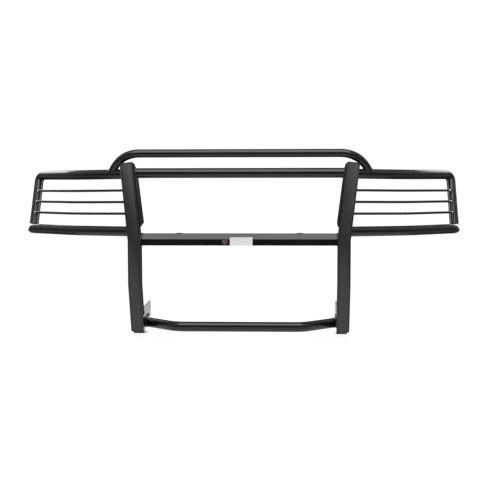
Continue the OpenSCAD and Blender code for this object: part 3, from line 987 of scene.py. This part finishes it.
# %% Badge plate and button
BADGE_RIM = 1.6 * MM
BADGE_FIELD = 0.5 * MM


def make_badge():
    bm = merged_copy("badge_plate")
    bmesh.ops.recalc_face_normals(bm, faces=bm.faces)
    front = max((f for f in bm.faces if f.normal.y < -0.9), key=lambda f: f.calc_area())
    for thickness, depth in ((BADGE_RIM, 0), (BADGE_FIELD, -BADGE_FIELD)):
        bmesh.ops.inset_region(bm, faces=[front], thickness=thickness, depth=depth,
                               use_even_offset=True)
    piece = finished("badge_plate_blank", bm, label_white, ("badge_plate",))
    round_edges(piece, 0.4 * MM, 2, 25)
    return piece


def make_button():
    low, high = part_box("badge_button")
    r, depth = (high.x - low.x) / 2, high.y - low.y
    bm = bmesh.new()
    lathe(bm, [(0, 0), (r - 0.3 * MM, 0), (r, 0.3 * MM), (r, depth - 0.8 * MM),
               (r - 0.8 * MM, depth), (r - 1.8 * MM, depth), (r - 2.6 * MM, depth - 0.8 * MM),
               (r * 0.6, depth - 0.5 * MM), (r * 0.3, depth - 0.2 * MM), (0, depth - 0.1 * MM)])
    place = Vector(((low.x + high.x) / 2, high.y, (low.z + high.z) / 2))
    turn = Matrix.Rotation(math.pi / 2, 4, "X")
    bmesh.ops.transform(bm, matrix=Matrix.Translation(place) @ turn, verts=bm.verts)
    bmesh.ops.recalc_face_normals(bm, faces=bm.faces)
    return finished("badge_button_turned", bm, button_dark, ("badge_button",))


badge = [make_badge(), make_button()]
print("badge:", faces_of(badge), "faces")

# %% [markdown]
# ## The studio
# Black gloss shows nothing but its surroundings, so they matter more than the
# lamps. The guard stands on a small sheet of white paper, under a large softbox
# that hangs above and in front of it. Each tube then shows that softbox as a
# broad highlight in its upper half, the dark room as a line along its middle,
# and the paper as grey along its underside. The paper ends just behind the
# guard, so that nothing pale shows in the backs of the tubes. Two softboxes
# behind the wings draw bright rims down the posts and round the corners. The
# paper glows by itself, which keeps it as white as the background.

# %% Floor
FLOOR_R = 1.25
FLOOR_MIDDLE = Matrix.Translation((0, -0.83, 0))
PAPER_GLOW = 0.9


def make_floor():
    bm = bmesh.new()
    bmesh.ops.create_circle(bm, segments=96, radius=FLOOR_R, cap_ends=True, matrix=FLOOR_MIDDLE)
    mesh = bpy.data.meshes.new("floor")
    bm.to_mesh(mesh)
    bm.free()
    floor = bpy.data.objects.new("floor", mesh)
    bpy.context.scene.collection.objects.link(floor)
    material, tree, shader, place = new_material("floor_paper")
    colour = two_tones(tree, noise(tree, place, 3, 2), (0.14, 0.14, 0.14), (0.17, 0.17, 0.17))
    normal = bump(tree, noise(tree, place, 300, 2), 0.02, 0.0005)
    finish_shader(tree, shader, colour, spread(tree, noise(tree, place, 40), 0.8, 0.9), normal,
                  Specular_IOR_Level=0.0, Emission_Strength=PAPER_GLOW,
                  Emission_Color=(1, 1, 1, 1))
    mesh.materials.append(material)
    return floor


floor = make_floor()

# %% [markdown]
# The room is a world shader that the camera sees as plain white. Everything
# else sees a dark room: one ramp goes over the top from front to back, another
# gives the light from the sides by height, and they are mixed by how far
# sideways a ray goes.

# %% Room
OVER_THE_TOP = ((-180, 0.03), (-100, 0.03), (-75, 0.7), (-35, 0.5), (-22, 0.05), (12, 0.03),
                (30, 0.3), (75, 1.0), (115, 0.45), (150, 0.1))
FROM_THE_SIDES = ((-90, 0.8), (-25, 0.6), (-8, 0.3), (8, 0.3), (35, 0.8), (90, 1.0))
ROOM_WHITE = 1.05


def level_ramp(tree, angle, span, levels):
    """Light by an angle: stops of degrees and level, over plus or minus the span."""
    share = add_node(tree, "ShaderNodeMapRange")
    tree.links.new(angle, share.inputs["Value"])
    share.inputs["From Min"].default_value = -math.radians(span)
    share.inputs["From Max"].default_value = math.radians(span)
    ramp = add_node(tree, "ShaderNodeValToRGB")
    ramp.color_ramp.interpolation = "EASE"
    stops = ramp.color_ramp.elements
    while len(stops) < len(levels):
        stops.new(1.0)
    for stop, (degrees, level) in zip(stops, levels):
        stop.position = (degrees + span) / (2 * span)
        stop.color = (level, level, level, 1)
    tree.links.new(share.outputs["Result"], ramp.inputs["Fac"])
    return ramp.outputs["Color"]


def maths(tree, operation, *values):
    node = add_node(tree, "ShaderNodeMath", {"operation": operation})
    for socket, value in zip(node.inputs, values):
        if isinstance(value, bpy.types.NodeSocket):
            tree.links.new(value, socket)
        else:
            socket.default_value = value
    return node.outputs["Value"]


def make_room():
    world = bpy.data.worlds.new("studio")
    bpy.context.scene.world = world
    world.use_nodes = True
    tree = world.node_tree
    tree.nodes.clear()
    way = add_node(tree, "ShaderNodeTexCoord").outputs["Generated"]
    x, y, z = add_node(tree, "ShaderNodeSeparateXYZ", Vector=way).outputs
    over = maths(tree, "ARCTAN2", z, maths(tree, "MULTIPLY", y, -1.0))
    height = maths(tree, "ARCSINE", z)
    levels = add_node(tree, "ShaderNodeMixRGB")
    tree.links.new(maths(tree, "MULTIPLY", x, x), levels.inputs["Fac"])
    tree.links.new(level_ramp(tree, over, 180, OVER_THE_TOP), levels.inputs["Color1"])
    tree.links.new(level_ramp(tree, height, 90, FROM_THE_SIDES), levels.inputs["Color2"])
    lit = add_node(tree, "ShaderNodeBackground", Color=levels.outputs["Color"])
    plain = add_node(tree, "ShaderNodeBackground", Color=(1, 1, 1, 1), Strength=ROOM_WHITE)
    rays = add_node(tree, "ShaderNodeLightPath")
    mix = add_node(tree, "ShaderNodeMixShader")
    tree.links.new(rays.outputs["Is Camera Ray"], mix.inputs["Fac"])
    tree.links.new(lit.outputs["Background"], mix.inputs[1])
    tree.links.new(plain.outputs["Background"], mix.inputs[2])
    out = add_node(tree, "ShaderNodeOutputWorld")
    tree.links.new(mix.outputs["Shader"], out.inputs["Surface"])


make_room()

# %% Softboxes


def softbox(name, place, aim, size, radiance):
    """A rectangular light of one brightness all over."""
    lamp = bpy.data.lights.new(name, "AREA")
    lamp.shape = "RECTANGLE"
    lamp.size, lamp.size_y = size
    lamp.energy = radiance * math.pi * size[0] * size[1]
    light = bpy.data.objects.new(name, lamp)
    bpy.context.scene.collection.objects.link(light)
    light.location = place
    light.rotation_euler = (Vector(aim) - Vector(place)).to_track_quat("-Z", "Y").to_euler()
    light.visible_camera = False
    return light


softbox("front_softbox", (0, -0.9, 2.2), (0, 0.57, 0.84), (2.4, 1.91), 3.7)
for side, name in ((-1, "left"), (1, "right")):
    softbox(f"rim_softbox_{name}", (side * 1.75, 1.3, 0.9), (side * 0.7, 0, 0.5), (1.1, 1.4), 4)
bpy.context.scene.view_settings.view_transform = "Standard"
